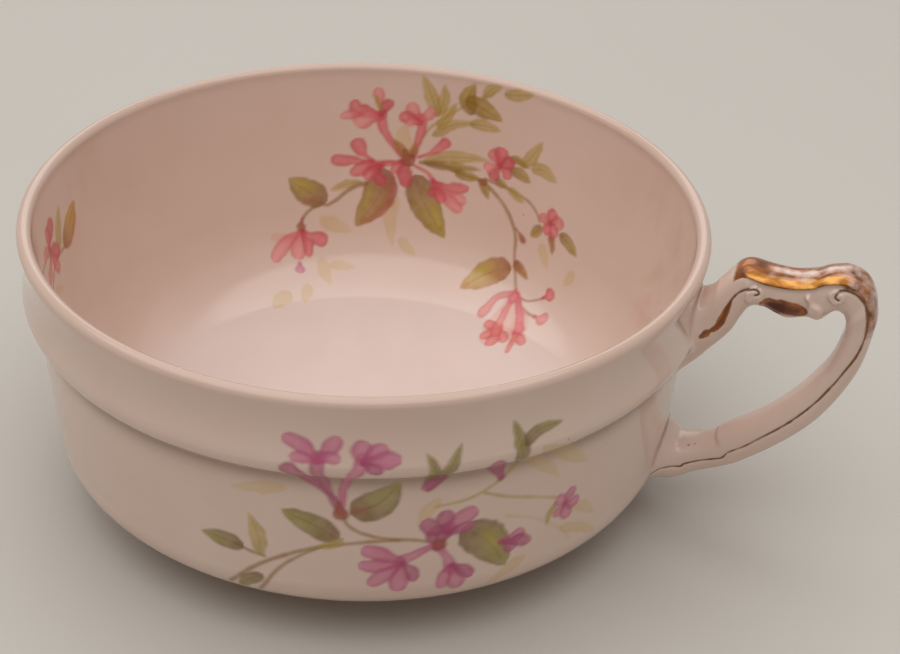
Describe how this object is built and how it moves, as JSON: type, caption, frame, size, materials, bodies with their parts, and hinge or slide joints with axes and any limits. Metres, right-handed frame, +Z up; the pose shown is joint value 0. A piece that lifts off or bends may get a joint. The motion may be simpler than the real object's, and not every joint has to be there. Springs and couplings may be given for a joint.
{
  "type": "flat cup",
  "caption": "Low straight-sided porcelain tea cup with a stepped collar below the lip, a foot ring and a scrolled ear handle with a thumb rest.",
  "frame": {"origin": "on the surface the cup stands on, below the middle of its box; the bowl's axis is 12 mm from it towards -X", "axes": "+Z up, +X towards the handle, which lies in the plane Y = 0"},
  "size_m": [0.1241, 0.1, 0.0472],
  "materials": {
    "bowl_glaze": "glossy clear glaze over white porcelain, with printed flower sprays",
    "handle_glaze": "glossy clear glaze with worn gilding",
    "foot_clay": "unglazed, ground tread",
    "slip": "fired slip under the glaze"
  },
  "bodies": {
    "root": {"cup_body": "bowl_glaze", "foot_ring": "foot_clay", "foot_slip_joint": "slip", "handle": "handle_glaze", "upper_slip_joint": "slip", "lower_slip_joint": "slip"}
  },
  "joints": []
}
